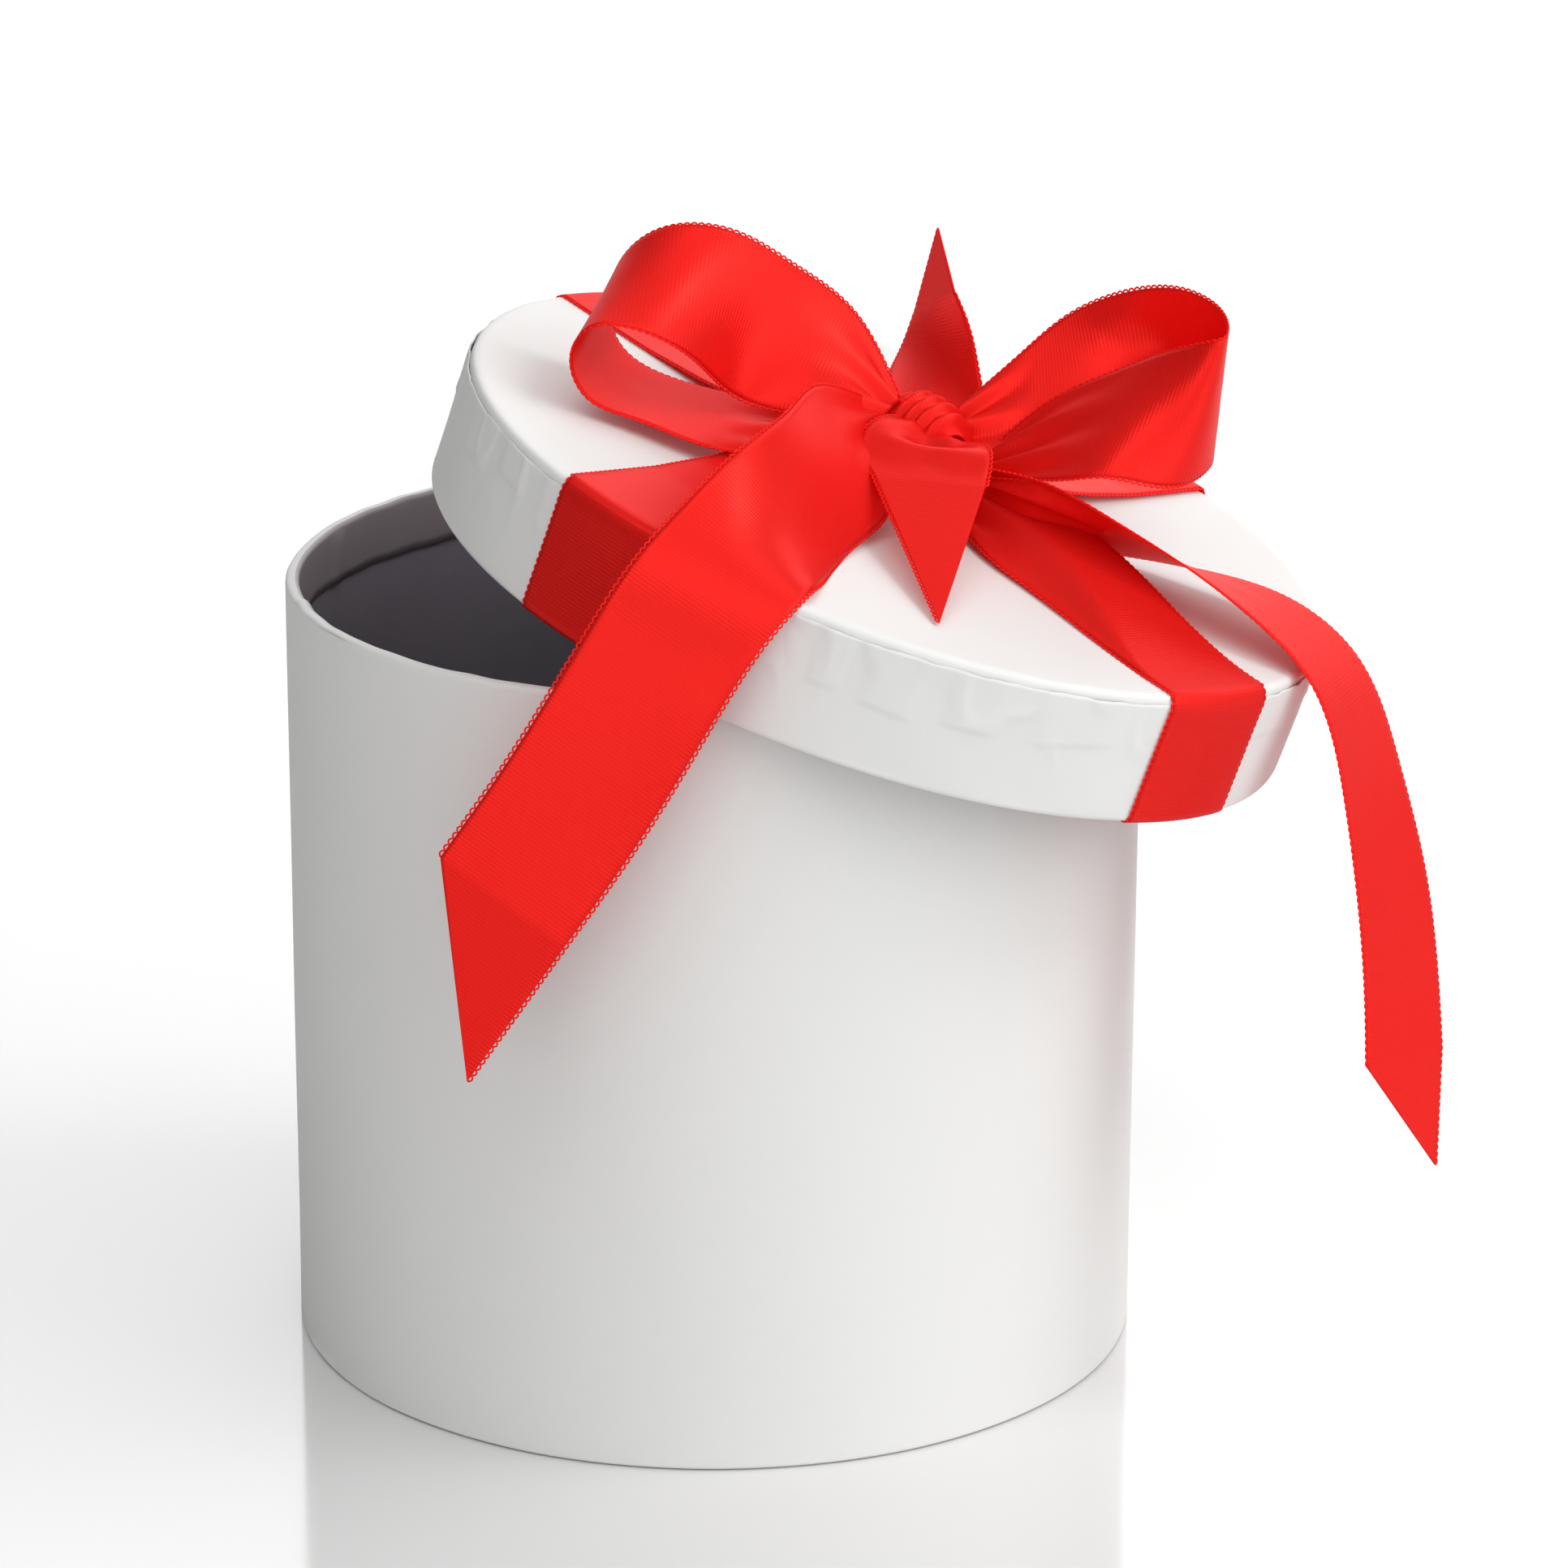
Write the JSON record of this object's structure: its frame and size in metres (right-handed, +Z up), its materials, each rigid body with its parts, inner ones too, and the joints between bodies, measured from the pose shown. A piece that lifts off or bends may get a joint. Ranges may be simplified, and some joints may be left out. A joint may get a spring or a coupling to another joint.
{
  "type": "round gift box",
  "caption": "Round board flower box with a lift-off lid, papered outside, with a satin ribbon crossed over the lid and tied in a bow.",
  "frame": {"origin": "centre of the base, on the surface that the box stands on", "axes": "+Z up through the box, front towards -Y; the lid lies ajar with its left side up and its right side down towards +X"},
  "size_m": [0.206, 0.1753, 0.2016],
  "materials": {
    "greyboard": "raw grey board",
    "white_paper": "smooth white paper",
    "red_satin": "satin weave"
  },
  "bodies": {
    "box": {"box_wall": "greyboard", "box_base": "greyboard", "box_cover_paper": "white_paper", "box_base_paper": "white_paper", "box_floor_liner": "white_paper"},
    "lid": {"lid_panel": "greyboard", "lid_band": "greyboard", "lid_top_paper": "white_paper", "lid_band_paper": "white_paper", "lid_liner": "white_paper", "strap_a": "red_satin", "strap_b": "red_satin", "bow_loop_left": "red_satin", "bow_loop_right": "red_satin", "bow_tail_front": "red_satin", "bow_tail_right": "red_satin", "bow_centre": "red_satin", "tie_knot": "red_satin", "tie_end_front": "red_satin", "tie_end_back": "red_satin"}
  },
  "joints": [
    {"name": "lid_lift", "type": "slide", "parent": "box", "child": "lid", "axis": [0, 0, 1], "range_m": [0, 0.16]}
  ]
}
